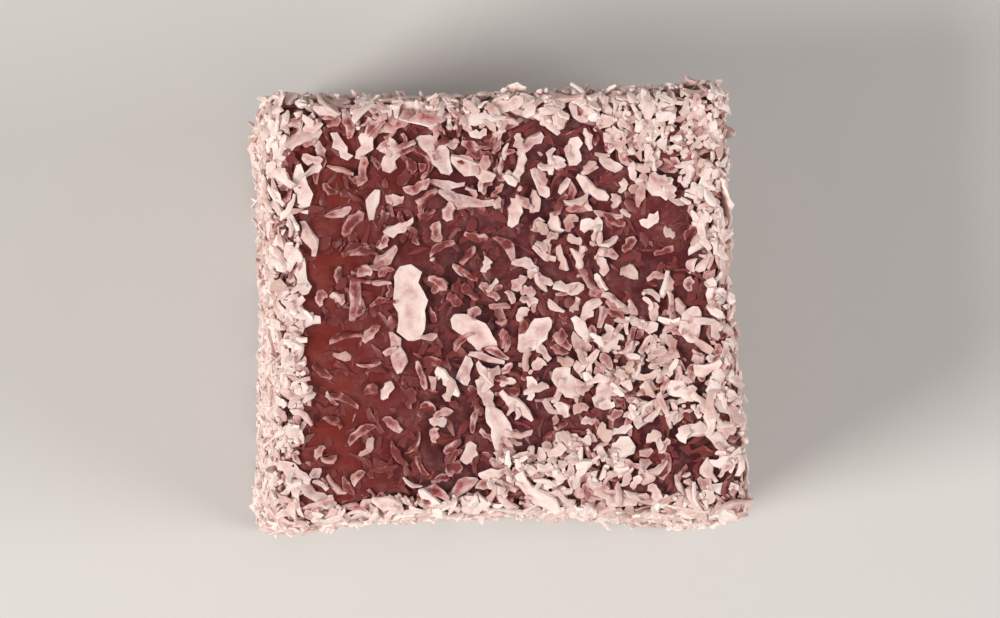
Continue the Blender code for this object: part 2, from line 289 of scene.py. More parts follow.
# Slivers that stand out of the coat: how many are tried, their sizes, and how steeply they stand
FRINGE_TRIES = 700
FRINGE_LENGTHS = (0.5, 1.1)
FRINGE_WIDTHS = (0.24, 0.42)
FRINGE_TIPS = (math.radians(15), math.radians(50))
FRINGE_BURIED = 0.25  # of its length
FRINGE_THICKNESSES = (0.6, 1.0)
# Smaller flakes listed on the top: X, Y, length, width and turn, and how soaked they are
TOP_FLAKES = [
    (-3.3, 5.3, 1.9, 0.5, 0, 0.2),
    (7.9, -6.5, 0.9, 0.5, 70, 0.1),
    (3.6, 3.4, 1.1, 0.6, -5, 0.0),
    (1.9, 3.6, 1.1, 0.6, -70, 0.0),
    (6.5, 3.7, 1.0, 0.5, 25, 0.0),
    (5.4, 1.3, 0.9, 0.5, -20, 0.0),
    (8.4, 1.7, 0.8, 0.5, 60, 0.2),
    (2.2, 1.9, 1.3, 0.5, -70, 0.1),
    (3.0, 2.0, 1.1, 0.5, -75, 0.0),
    (5.4, 2.5, 0.9, 0.35, 40, 0.75),
    (7.2, 2.3, 1.0, 0.35, 10, 0.8),
    (7.0, 6.5, 1.6, 0.6, -45, 0.4),
    (5.8, 7.5, 1.4, 0.6, -50, 0.4),
    (-8.2, -1.8, 1.6, 0.4, 12, 0.8),
    (-7.8, 3.4, 1.5, 0.5, 50, 0.7),
    (-7.7, 2.3, 1.4, 0.5, 20, 0.7),
    (-6.2, -4.4, 1.0, 0.6, 60, 0.05),
    (-8.2, -4.9, 1.7, 0.4, -25, 0.8),
    (-7.4, -6.4, 1.6, 0.35, 30, 0.9),
    (-5.6, -7.6, 1.4, 0.35, -60, 0.9),
    (-3.65, -5.9, 0.8, 0.5, 0, 0.0),
    (-2.1, -7.4, 1.1, 0.6, 60, 0.0),
    (-2.0, 2.9, 1.2, 0.4, -10, 0.7),
    (-2.5, 1.2, 1.4, 0.45, -25, 0.65),
    (-3.6, 2.4, 1.4, 0.45, 30, 0.6),
    (-1.3, 0.3, 1.2, 0.4, -35, 0.5),
]
COAT_SEED = 11
THICKNESSES = (0.75, 1.25)  # of its kind's thickness, that a flake may have
SOURCE_SOAK = 0.45  # of a large shred on the top, at most
CHIP_SOAK = 0.12
SOURCE_RISE = 0.3 * MM
SOURCE_COVER = 0.85  # of a large flake's width, that lifts the coat
SOURCE_TONE = 0.55  # of the deepest tone, that a large flake may have
SEATS = (0.2, 0.5)  # of its thickness, that a flake's middle lies above what it rests on
TOP_SEAT = 0.35
SUNK_SEATS = (-0.4, -0.05)
SUNK_SOAKS = (1.5, 2.4)
TOP_LIFT = 0.35  # of what would bring a large flake's upper side as high as the solid's
COAT_SWAY = 0.16
COAT_TWIST = 0.5
COAT_TAPER = (0.0, 0.6)
MOST_ROLL = 0.28
# How soaked a flake is at most, between which heights that falls, and the least share left of it
SOAK_TOP = 1.0
SOAK_TOP_HEIGHTS = (0.40 * MM, 0.06 * MM)
SOAK_TOP_LEAST = 0.12
SOAK_TOP_BIAS = 1.6  # above 1, dry flakes outnumber soaked ones
# On the sides and rims, lower-lying flakes are pinker and darker: partly syrup from the jelly, partly
# painted shade in the coat's hollows
SOAK_AND_SHADE_COAT = 0.75
SOAK_AND_SHADE_COAT_HEIGHTS = (0.34 * MM, 0.0)
SOAK_AND_SHADE_COAT_LEAST = 0.08
SOAK_LEFT = 0.55  # added on the left of the top, where syrup has soaked most of the coconut
SOAK_LEFT_BIAS = 0.6
LEFT_EDGE = (0.9 * MM, 1.8 * MM)  # from the left side, where that part starts and is full
LEFT_FADE = (2.5 * MM, -4.5 * MM)
DAMP_BELOW = 0.3 * MM  # a flake's parts lower than this over the jelly are damp
DAMP = 0.3

# The form of a flake
TAPER_POWER = 2.2
SQUARENESS = 0.55  # 1 is an oval cross-section, and less is squarer
CHOPPED_END = 0.97  # of the half length, where the last ring lies
GRAIN_END = 0.6
MOST_WEDGE = 0.4
RING_ROUGH = 0.5  # of a kind's roughness, by which each ring differs from the next
THIN_END = 0.55  # of its thickness, left where a flake has no width
SLANT_REACH = 0.5  # of the half width
FLOOR_SHARE = 0.3  # of the floor gap, below which no corner reaches
GRAIN_STRETCH = 2.4  # how much finer the grain runs across a flake than along it
GRAIN_SHIFT = 50  # the most by which a flake's grain is moved, in mm
SHARP_FROM = math.radians(38)
CELL_MARGIN = 0.06  # of a flake's cell of the map

# Colours, as linear red, green and blue
DRY = (0.95, 0.79, 0.735, 1.0)
DRY_DEEP = (0.66, 0.455, 0.40, 1.0)
# Wet coconut's pink, which also serves as painted shade on the coat's lower-lying flakes
SOAKED_AND_SHADED = (0.40, 0.145, 0.135, 1.0)
SUNK = (0.175, 0.031, 0.028, 1.0)
JELLY_WINE = (0.125, 0.014, 0.018, 1.0)
JELLY_DEEP = (0.050, 0.006, 0.009, 1.0)
JELLY_EMBER = (0.185, 0.021, 0.013, 1.0)
# A pale veil on the jelly: partly starch dust, partly painted sheen
STARCH_AND_SHEEN = (0.38, 0.15, 0.14, 1.0)
PACKED = (0.62, 0.40, 0.35, 1.0)
# Dark red in the crevices of the packed crumb: jelly between the crumbs, darkened as painted shade
PACKED_GAP_JELLY_AND_SHADE = (0.22, 0.065, 0.06, 1.0)
FLOOR_COLOUR = (0.60, 0.585, 0.565, 1.0)
SURROUND_COLOUR = (1.0, 0.97, 0.95, 1.0)
SURROUND_STRENGTH = 0.32

# The camera looks down on the cube, from a little to the left and front of it
TO_CAMERA = Vector((-0.100, -0.070, 0.9925))
CAMERA_DISTANCE = 0.2
CAMERA_LENS = 145
CAMERA_CLIP = (0.01, 10)
LOOK_AT = Vector((0.0, 0.0, 10.5 * MM))

FLOOR_HALF = 0.6
# Soft lights: name, place, size, power and colour
LIGHTS = [
    ("window", (-0.23, -0.10, 0.23), 0.12, 1.0, (1.0, 0.97, 0.95)),
    ("fill", (0.24, -0.06, 0.20), 0.18, 0.5, (1.0, 0.98, 0.97)),
]


def core_under(p):
    """The nearest point of the block's core, which its round edges are an even distance from."""
    return Vector(max(EDGE_RADIUS - h, min(h - EDGE_RADIUS, c)) for c, h in zip(p, HALVES))


def rounded(cube_point):
    """A point of the cube from -1 to 1, moved onto the block with round edges, about its middle."""
    p = Vector(c * h for c, h in zip(cube_point, HALVES))
    core = core_under(p)
    return core + (p - core).normalized() * EDGE_RADIUS


def settled(p):
    """A point of the even block, moved as the soft jelly has settled, with the foot at z = 0."""
    x, y, z = (c / h for c, h in zip(p, HALVES))
    rise = (z + 1) / 2
    pull = Vector((0, 0, 0))
    for (sign_x, sign_y), (move_x, move_y) in CORNER_PULL.items():
        share = (1 + sign_x * x) * (1 + sign_y * y) / 4
        pull += Vector((move_x, move_y, 0)) * share
    pull *= FOOT_PULL + (1 - FOOT_PULL) * rise
    waist = WAIST * (1 - z * z) - SLUMP * (1 - rise)
    pull.x -= x * (PINCH * (1 - y * y) + waist)
    pull.y -= y * ((FRONT_PINCH if y < 0 else PINCH) * (1 - x * x) + waist)
    pull.z -= DISH * max(0, 1 - x * x) * max(0, 1 - y * y) * rise**4
    lump = noise.noise_vector(p / LUMP_SPACING) * LUMP
    lump.z *= rise
    moved = p + pull + lump * min(1, 4 * rise)
    moved.z += HALVES.z
    return moved


def even_point(face, u, v):
    """The point at u and v of a face, each from -1 to 1, before the block settled."""
    out, across, up = FACES[face]
    return rounded(out + across * u + up * v)


def on_block(face, u, v):
    return settled(even_point(face, u, v))


def frame_at(face, u, v):
    """The surface point there, with its outward normal and the direction of u along it."""
    here = on_block(face, u, v)
    along_u = on_block(face, u + STEP, v) - on_block(face, u - STEP, v)
    along_v = on_block(face, u, v + STEP) - on_block(face, u, v - STEP)
    normal = along_u.cross(along_v).normalized()
    return here, normal, (along_u - normal * along_u.dot(normal)).normalized()


def sized(bounds, share):
    """The length that far from the smallest to the largest of the bounds, in metres."""
    return (bounds[0] + share * (bounds[1] - bounds[0])) * MM


def draw_place(draw):
    """A face and a place on it, by the rule of the part's source."""
    areas = {
        "top": HALF_WIDTH * HALF_DEPTH,
        "right": HALF_DEPTH * HEIGHT / 2,
        "back": HALF_WIDTH * HEIGHT / 2,
        "left": HALF_DEPTH * HEIGHT / 2,
        "front": HALF_WIDTH * HEIGHT / 2,
    }
    face = draw.choices(list(areas), weights=list(areas.values()))[0]
    u = draw.uniform(-REACH, REACH)
    v = draw.uniform(-REACH, REACH)
    rim = math.copysign(draw.uniform(RIM_FROM, REACH), draw.uniform(-1, 1))
    if face == "top":
        u, v = draw.choice([(u, rim), (rim, v)])
    return face, u, v


def draw_flake(kind, draw):
    """One flake of a kind. Its girths only keep the draws in step with the part's source."""
    size = draw.random() ** SIZE_BIAS
    return {
        "kind": kind,
        "length": sized(kind["length"], size),
        "width": sized(kind["width"], size),
        "turn": draw.uniform(0, math.tau),
        "tip": draw.uniform(-MOST_TIP, MOST_TIP),
        "bend": draw.uniform(*kind["bend"]),
        "sway": draw.uniform(-MOST_SWAY, MOST_SWAY),
        "twist": draw.uniform(-MOST_TWIST, MOST_TWIST),
        "taper": draw.uniform(*kind["taper"]),
        "lean": draw.uniform(-MOST_LEAN, MOST_LEAN),
        "girths": [draw.uniform(*GIRTH) for _ in range(SOURCE_STATIONS)],
    }


def lying_at(face, u, v, flake):
    """The matrix that lays a flake there, turned and tipped as it says."""
    point, normal, along = frame_at(face, u, v)
    x_axis = Matrix.Rotation(flake["turn"], 3, normal) @ along
    y_axis = normal.cross(x_axis)
    turned = Matrix((x_axis, y_axis, normal)).transposed()
    tipped = Matrix.Rotation(flake["tip"], 3, y_axis) @ turned
    rise = flake["kind"]["thick"] * MM * (0.5 - SHARE_SUNK)
    return Matrix.Translation(point + normal * rise) @ tipped.to_4x4()


def fits(face, u, v, flake, place, taken):
    """True where a flake is clear of the others and the foot, in the rim, and not too proud."""
    middle = place.translation
    if any((middle - other).length < flake["kind"]["apart"] * MM for other in taken):
        return False
    shift = on_block(face, u, v) - even_point(face, u, v)
    for side in (-1, 1):
        end = place @ Vector((side * flake["length"] / 2, 0, 0))
        edge = abs(place.col[1].z) * flake["width"] / 2
        if end.z - edge < FOOT_GAP + flake["kind"]["thick"] * MM / 2:
            return False
        even = end - shift
        if face == "top" and max(abs(even.x) / HALF_WIDTH, abs(even.y) / HALF_DEPTH) < RIM_INNER:
            return False
        if max(abs(c) - h for c, h in zip(even, HALVES)) > MOST_PROUD:
            return False
    return True


def placed(kind, rows, taken, draw):
    """The top's own flakes of one kind, as pairs of a flake and the matrix that lays it."""
    pairs = []
    for x, y, length, width, degrees in rows:
        flake = draw_flake(kind, draw)
        flake.update(length=length * MM, width=width * MM, turn=math.radians(degrees))
        place = lying_at("top", x * MM / HALF_WIDTH, y * MM / HALF_DEPTH, flake)
        taken.append(place.translation)
        pairs.append((flake, place))
    return pairs


def scattered(kind, taken, draw):
    """Flakes of one kind by chance, as such pairs."""
    pairs = []
    for _ in range(MOST_TRIES):
        if len(pairs) == kind["count"]:
            break
        face, u, v = draw_place(draw)
        flake = draw_flake(kind, draw)
        place = lying_at(face, u, v, flake)
        if (kind is SHREDS or face != "top") and fits(face, u, v, flake, place, taken):
            taken.append(place.translation)
            pairs.append((flake, place))
    return pairs


def source_flakes():
    """The flakes of the part's source: pairs of a flake and the matrix that lays it."""
    draw = random.Random(SOURCE_SEED)
    taken = []
    pairs = placed(CHIPS, TOP_CHIPS, taken, draw) + placed(SHREDS, TOP_SHREDS, taken, draw)
    return pairs + scattered(CHIPS, taken, draw) + scattered(SHREDS, taken, draw)


def smooth(low, high, value):
    """0 at low and 1 at high, easing between them."""
    share = max(0.0, min(1.0, (value - low) / (high - low)))
    return share * share * (3 - 2 * share)


def rim_share(even):
    """1 on the dense rim of the top, 0 inside it, for a point of the even block."""
    ragged = noise.noise(even / RIM_SPACING) * RIM_RAGGED
    inside = {
        "left": even.x + HALF_WIDTH,
        "right": HALF_WIDTH - even.x,
        "back": HALF_DEPTH - even.y,
        "front": even.y + HALF_DEPTH,
    }
    thins, ends = RIM_EASE
    return max(
        1 - smooth(width * thins, width * ends, inside[side] + ragged)
        for side, width in RIM_WIDTHS.items()
    )


def cover_of(point):
    """How much of the jelly the coconut hides at a point of the top, from 0 to 1."""
    cover = TOP_COVER + COVER_SPREAD * noise.noise(point / COVER_SPACING)
    ragged = noise.noise(point / PATCH_SPACING + PATCH_SHIFT) * PATCH_RAGGED
    for x, y, half_x, half_y, share in PATCHES:
        away = math.hypot((point.x / MM - x) / half_x, (point.y / MM - y) / half_y)
        cover += (share - cover) * (1 - smooth(*PATCH_EASE, away + ragged))
    return max(0.0, min(1.0, cover))


def axes_along(leaned, normal):
    """A flake's own axes: along it, across it and out of its flat side."""
    y_axis = normal.cross(leaned).normalized()
    return leaned, y_axis, leaned.cross(y_axis)


class Coat:
    """Samples all over the block, each with the height that the coconut has reached over it."""

    def __init__(self):
        self.points = []
        self.normals = []
        self.alongs = []
        self.heights = []
        self.covers = []
        self.lumps = []
        self.zones = {"coat": [], "top": [], "under": []}
        for face in FACES:
            self.add_face(face)
        self.tree = kdtree.KDTree(len(self.points))
        for index, point in enumerate(self.points):
            self.tree.insert(point, index)
        self.tree.balance()

    def add_face(self, face):
        """Samples of one face, each with its normal and the direction of u along it."""
        out, across, up = FACES[face]
        columns = round(2 * abs(across.dot(HALVES)) / SAMPLE_SPACING)
        rows = round(2 * abs(up.dot(HALVES)) / SAMPLE_SPACING)
        us = (np.arange(columns) + 0.5) / columns * 2 - 1
        vs = (np.arange(rows) + 0.5) / rows * 2 - 1
        evens = [[even_point(face, u, v) for v in vs] for u in us]
        grid = np.array([[settled(even) for even in row] for row in evens])
        along = np.gradient(grid, axis=0)
        normal = np.cross(along, np.gradient(grid, axis=1))
        normal /= np.linalg.norm(normal, axis=2, keepdims=True)
        along -= normal * (along * normal).sum(axis=2, keepdims=True)
        along /= np.linalg.norm(along, axis=2, keepdims=True)
        flat = (a.reshape(-1, 3) for a in (np.array(evens), grid, normal, along))
        for even, p, n, t in zip(*flat):
            self.add_sample(face, Vector(even), Vector(p), Vector(n), Vector(t))

    def add_sample(self, face, even, point, normal, along):
        index = len(self.points)
        self.points.append(point)
        self.normals.append(normal)
        self.alongs.append(along)
        self.heights.append(-SIDE_INSET * (1 - max(0.0, normal.z)))
        lump = noise.noise(point / CLUMP_SPACING)
        self.lumps.append(CLUMP * lump)
        coat_cover = max(0.0, min(1.0, COAT_COVER + COAT_SPREAD * lump))
        if face != "top":
            self.covers.append(coat_cover)
            self.zones["under" if face == "under" else "coat"].append(index)
            return
        rim = max(rim_share(even), smooth(*RIM_FLAT, normal.z))
        self.covers.append(max(rim * coat_cover, cover_of(point)))
        self.zones["top"].append(index)
        if rim > 0.5 or self.covers[-1] > DENSE_FROM:
            self.zones["coat"].append(index)

    def is_full(self, index):
        """True where the coconut already hides as much around a sample as it should."""
        if self.covers[index] > NEVER_FULL:
            return False
        near = self.tree.find_range(self.points[index], COVER_REACH)
        hidden = sum(self.heights[other] > HIDDEN_FROM for _, other, _ in near)
        return hidden >= self.covers[index] * len(near)

    def has_room(self, end, thick):
        """True where a flake's end is off the floor and hardly outside the part's own box."""
        if end.z < FLOOR_GAP + thick / 3:
            return False
        return all(
            low - ROOM_SHARE * (high - low) < c < high + ROOM_SHARE * (high - low)
            for c, low, high in zip(end, *cad_box)
        )

    def raise_under(self, here, normal, x_axis, length, width, top_at):
        """Lifts the coat under a flake to its upper side, where top_at gives it by place along."""
        radius = max(width / 2, LEAST_REACH)
        for s in STOPS:
            spot = here + x_axis * (s * length / 2) + normal * top_at(s)
            for _, near, _ in self.tree.find_range(spot, radius + SEARCH_MARGIN):
                upper = spot - self.points[near]
                rise = upper.dot(self.normals[near])
                across = (upper - self.normals[near] * rise).length
                if across < radius and rise > self.heights[near]:
                    self.heights[near] = rise

    def lay(self, index, size, turn, seat_in, sunk=False):
        """Rests a flake over a sample. Returns its middle, axes, bend and rise, or None."""
        length, width, thick = size
        here = self.points[index]
        normal = self.normals[index]
        x_axis = Matrix.Rotation(turn, 3, normal) @ self.alongs[index]
        rests = []
        for s in STOPS:
            near = self.tree.find(here + x_axis * (s * length / 2))[1]
            top = self.points[near] + self.normals[near] * self.heights[near]
            rests.append((top - here).dot(normal))
        most = MOST_DROOP * length
        bend = max(-most, min(most, (rests[0] + rests[-1]) / 2 - rests[2]))
        flat = [rest - bend * s * s for rest, s in zip(rests, STOPS)]
        slope = sum(rest * s for rest, s in zip(flat, STOPS)) / sum(s * s for s in STOPS)
        slope = max(-MOST_SLOPE * length, min(MOST_SLOPE * length, slope))
        level = [rest - slope * s for rest, s in zip(flat, STOPS)]
        seat = HIGHEST_WEIGHT * max(level) + MEAN_WEIGHT * sum(level) / len(level)
        rise = seat + thick * seat_in
        for s in (-1, 1):
            end = here + x_axis * (s * length / 2) + normal * (rise + slope * s + bend)
            out = (end - self.points[self.tree.find(end)[1]]).length
            if out > MOST_OUT + thick / 2 or not self.has_room(end, thick):
                return None
        if not sunk:
            self.raise_under(
                here, normal, x_axis, length, width,
                lambda s: rise + slope * s + bend * s * s + thick * FLAKE_TOP,
            )
        leaned = (x_axis * (length / 2) + normal * slope).normalized()
        return here + normal * rise, axes_along(leaned, normal), bend, rise

    def stand(self, index, size, turn, tip):
        """Stands a flake in the coat over a sample, tipped up. Returns as lay does."""
        length, width, thick = size
        normal = self.normals[index]
        x_axis = Matrix.Rotation(turn, 3, normal) @ self.alongs[index]
        leaned = (x_axis * math.cos(tip) + normal * math.sin(tip)).normalized()
        foot = self.points[index] + normal * self.heights[index]
        end = foot + leaned * (1 - FRINGE_BURIED) * length
        if not self.has_room(end, thick):
            return None
        middle = foot + leaned * (0.5 - FRINGE_BURIED) * length
        return middle, axes_along(leaned, normal), 0.0, self.heights[index] + thick


def add_row(rows, kind, laid, size, soak_and_shade, draw, shape=None, deepest=1.0):
    """Notes one flake for its piece: where it lies, its size, its curve and its colour."""
    middle, axes, bend, rise = laid
    shape = shape or {
        "sway": draw.uniform(-COAT_SWAY, COAT_SWAY),
        "twist": draw.uniform(-COAT_TWIST, COAT_TWIST),
        "taper": draw.uniform(*COAT_TAPER),
        "lean": draw.uniform(-MOST_LEAN, MOST_LEAN),
    }
    rows[kind].append(
        {
            "middle": tuple(middle),
            "axes": [tuple(axis) for axis in axes],
            "size": size,
            "bend": bend,
            "roll": draw.gauss(0, MOST_ROLL),
            "curve": (shape["sway"], shape["twist"], shape["taper"], shape["lean"]),
            "rise": rise,
            "soak_and_shade": soak_and_shade,
            "tone": deepest * draw.random(),
        }
    )


def left_share(point):
    """1 on the left of the top inside its rim, 0 on its right."""
    return smooth(*LEFT_EDGE, point.x + HALF_WIDTH) * smooth(*LEFT_FADE, point.x)


def soak_and_shade_at(laid, draw):
    """How pink and dark a flake is: most where it lies right on the jelly, and least on the coat. On
    the coat, lower-lying flakes are darker, partly from syrup and partly as painted shade in its
    hollows.
    """
    middle, axes, _, rise = laid
    if axes[2].z > UP_FACING:
        share = SOAK_TOP_LEAST + (1 - SOAK_TOP_LEAST) * smooth(*SOAK_TOP_HEIGHTS, rise)
        soak_and_shade = SOAK_TOP * share * draw.random() ** SOAK_TOP_BIAS
        return soak_and_shade + SOAK_LEFT * left_share(middle) * draw.random() ** SOAK_LEFT_BIAS
    # On the coat: darker the lower a flake lies, partly syrup and partly painted shade in the hollows
    share = SOAK_AND_SHADE_COAT_LEAST + (1 - SOAK_AND_SHADE_COAT_LEAST) * smooth(*SOAK_AND_SHADE_COAT_HEIGHTS, rise)
    return SOAK_AND_SHADE_COAT * share * draw.random()


def coated():
    """All the coconut, as lists of rows by kind."""
    draw = random.Random(COAT_SEED)
    coat = Coat()
    rows = {kind: [] for kind in KINDS}
    scatter(coat, PASSES_BEFORE, rows, draw)
    scatter(coat, PASSES_SUNK, rows, draw, sunk=True)
    add_source_flakes(coat, rows, draw)
    add_top_flakes(coat, rows, draw)
    scatter(coat, PASSES_AFTER, rows, draw)
    add_fringe(coat, rows, draw)
    return rows


def add_source_flakes(coat, rows, draw):
    """The large flakes, each where the part's source has it."""
    for flake, place in source_flakes():
        kind = "coconut_chips" if flake["kind"] is CHIPS else "coconut_shreds"
        thick = KINDS[kind]["thick"] * MM
        axes = [place.col[k].to_3d() for k in range(3)]
        on_top = axes[2].z > UP_FACING
        lift = (flake["kind"]["thick"] * MM - thick) / 2
        if on_top:
            lift *= TOP_LIFT
        middle = place.translation + axes[2] * lift
        bend = flake["bend"] * flake["length"]
        size = (flake["length"], flake["width"], thick)
        coat.raise_under(
            middle, axes[2], axes[0], size[0], size[1] * SOURCE_COVER,
            lambda s, bend=bend, thick=thick: bend * s * s + thick * FLAKE_TOP,
        )
        soak_and_shade = 0.0
        if on_top and kind == "coconut_chips":
            soak_and_shade = CHIP_SOAK
        elif on_top:
            soak_and_shade = SOURCE_SOAK * draw.random() * (0.5 + left_share(middle))
        laid = (middle, axes, bend, SOURCE_RISE)
        add_row(rows, kind, laid, size, soak_and_shade, draw, flake, SOURCE_TONE)


def add_top_flakes(coat, rows, draw):
    """The smaller flakes that are placed one by one."""
    for x, y, length, width, degrees, soak_and_shade in TOP_FLAKES:
        index = coat.tree.find(Vector((x * MM, y * MM, HEIGHT)))[1]
        size = (length * MM, width * MM, KINDS["coconut_shreds"]["thick"] * MM)
        laid = coat.lay(index, size, math.radians(degrees), TOP_SEAT)
        if laid:
            add_row(rows, "coconut_shreds", laid, size, soak_and_shade, draw)


def scatter(coat, passes, rows, draw, sunk=False):
    """Flakes by chance, pass by pass, where the coat isn't yet as high or as full as it should be."""
    for kind, zone, tries, lengths, widths, ceiling in passes:
        for index in draw.choices(coat.zones[zone], k=tries):
            thick = KINDS[kind]["thick"] * MM * draw.uniform(*THICKNESSES)
            size = (sized(lengths, draw.random() ** SIZE_BIAS), sized(widths, draw.random()), thick)
            turn = draw.uniform(0, math.tau)
            seat_in = draw.uniform(*(SUNK_SEATS if sunk else SEATS))
            lump = coat.lumps[index] if zone == "coat" else 0.0
            if coat.heights[index] > ceiling * MM + lump or coat.is_full(index):
                continue
            laid = coat.lay(index, size, turn, seat_in, sunk)
            if laid:
                soak_and_shade = draw.uniform(*SUNK_SOAKS) if sunk else soak_and_shade_at(laid, draw)
                add_row(rows, kind, laid, size, soak_and_shade, draw)


def add_fringe(coat, rows, draw):
    """Slivers that stand out of the coat on the sides and the rims."""
    for index in draw.choices(coat.zones["coat"], k=FRINGE_TRIES):
        thick = KINDS["coconut_slivers"]["thick"] * MM * draw.uniform(*FRINGE_THICKNESSES)
        size = (sized(FRINGE_LENGTHS, draw.random()), sized(FRINGE_WIDTHS, draw.random()), thick)
        laid = coat.stand(index, size, draw.uniform(0, math.tau), draw.uniform(*FRINGE_TIPS))
        if laid:
            add_row(rows, "coconut_slivers", laid, size, 0.0, draw)


def section(corners):
    """The corners of a flake's flattened cross-section, in halves of its width and thickness."""
    angles = (np.arange(corners) + 0.5) / corners * math.tau
    across = np.sign(np.cos(angles)) * np.abs(np.cos(angles)) ** SQUARENESS
    high = np.sign(np.sin(angles)) * np.abs(np.sin(angles)) ** SQUARENESS
    return np.stack([across, high], axis=1)


def flake_points(kind, rows, chance):
    """The corner points of all flakes of a kind, each one's height, and how far it is from an edge."""
    count, rings, corners = len(rows), kind["rings"], kind["corners"]
    middles = np.array([row["middle"] for row in rows])
    axes = np.array([row["axes"] for row in rows])
    length, width, thick = np.array([row["size"] for row in rows]).T
    sway, twist, taper, lean = np.array([row["curve"] for row in rows]).T
    bend = np.array([row["bend"] for row in rows])
    roll = np.array([row["roll"] for row in rows])

    end = CHOPPED_END if rings > 2 else GRAIN_END
    stations = np.linspace(-end, end, rings)
    s = np.concatenate([[-1.0], stations, [1.0]])
    share = 1 - taper[:, None] * np.abs(s + lean[:, None] * (1 - s * s)) ** TAPER_POWER
    share *= 1 + chance.uniform(-1, 1, (count, rings + 2)) * kind["rough"]
    share *= np.sqrt(np.clip(1 - np.abs(s) ** kind["round"], 0, 1))
    share[:, 0] = share[:, -1] = 0

    ring = section(corners)[None, None] * (
        1 + chance.uniform(-1, 1, (count, 1, corners, 2)) * kind["rough"]
        + chance.uniform(-1, 1, (count, rings + 2, corners, 2)) * kind["rough"] * RING_ROUGH
    )
    wedge = 1 + chance.uniform(-MOST_WEDGE, MOST_WEDGE, (count, 1, 1)) * ring[..., 0]
    across = ring[..., 0] * (share * width[:, None] / 2)[..., None]
    across += chance.uniform(-1, 1, (count, rings + 2, 1)) * (kind["rough"] * width / 2)[:, None, None]
    half_thick = (THIN_END + (1 - THIN_END) * share) * thick[:, None] / 2
    high = ring[..., 1] * wedge * half_thick[..., None]
    high[:, 0] = high[:, -1] = 0
    high += kind["cup"] * (across**2) / (width[:, None, None] / 2)
    slants = chance.uniform(-1, 1, (count, 2)) * kind["slant"]
    slant = np.where(s < 0, slants[:, :1], slants[:, 1:]) * np.abs(s) ** 3
    along = s[None, :, None] * length[:, None, None] / 2 + slant[..., None] * across * SLANT_REACH

    turn = twist[:, None] * s + roll[:, None]
    cos, sin = np.cos(turn)[..., None], np.sin(turn)[..., None]
    across, high = across * cos - high * sin, across * sin + high * cos
    across = across + (sway * length)[:, None, None] * (s * s)[None, :, None]
    high = high + bend[:, None, None] * (s * s)[None, :, None]
    local = np.stack([along, across, high], axis=-1)
    points = middles[:, None, None] + np.einsum("nkci,nij->nkcj", local, axes)
    heights = high + np.array([row["rise"] for row in rows])[:, None, None]

    def flat(values):
        """Drops all but one corner of each end, and joins rings and corners."""
        inner = values[:, 1:-1].reshape(count, rings * corners, *values.shape[3:])
        return np.concatenate([values[:, 0, :1], inner, values[:, -1, :1]], axis=1)

    points = flat(points)
    points[..., 2] = np.maximum(points[..., 2], FLOOR_GAP * FLOOR_SHARE)
    nearest = np.abs(ring[..., 0]) * np.ones((count, rings + 2, 1))
    middle = np.clip(1 - np.maximum(nearest, np.abs(s)[None, :, None] ** 3), 0, 1)
    return points, flat(heights), flat(middle)


def flake_faces(kind):
    """One flake's faces as loops: vertex numbers, face sizes, and each loop's place in its cell."""
    rings, corners = kind["rings"], kind["corners"]
    last = rings * corners + 1
    loops = []
    sizes = []
    places = []
    for c in range(corners):
        after = (c + 1) % corners
        loops += [0, 1 + after, 1 + c]
        places += [(0.0, c + 0.5), (0.5, c + 1), (0.5, c)]
        sizes.append(3)
        for r in range(rings - 1):
            low, high = 1 + r * corners, 1 + (r + 1) * corners
            loops += [low + c, low + after, high + after, high + c]
            places += [(r + 0.5, c), (r + 0.5, c + 1), (r + 1.5, c + 1), (r + 1.5, c)]
            sizes.append(4)
        base = 1 + (rings - 1) * corners
        loops += [last, base + c, base + after]
        places += [(rings, c + 0.5), (rings - 0.5, c), (rings - 0.5, c + 1)]
        sizes.append(3)
    places = np.array(places, float) / (rings, corners)
    return np.array(loops), np.array(sizes), places


def mesh_from(name, points, loops, sizes):
    mesh = bpy.data.meshes.new(name)
    mesh.vertices.add(len(points))
    mesh.vertices.foreach_set("co", points.astype(np.float32).ravel())
    mesh.loops.add(len(loops))
    mesh.loops.foreach_set("vertex_index", loops.astype(np.int32))
    mesh.polygons.add(len(sizes))
    starts = np.concatenate([[0], np.cumsum(sizes)[:-1]])
    mesh.polygons.foreach_set("loop_start", starts.astype(np.int32))
    mesh.update(calc_edges=True)
    obj = bpy.data.objects.new(name, mesh)
    bpy.context.scene.collection.objects.link(obj)
    return obj


def add_map(mesh, name, places):
    layer = mesh.uv_layers.new(name=name)
    layer.uv.foreach_set("vector", places.astype(np.float32).ravel())


def add_values(mesh, name, values):
    attribute = mesh.attributes.new(name, "FLOAT", "POINT")
    attribute.data.foreach_set("value", values.astype(np.float32).ravel())


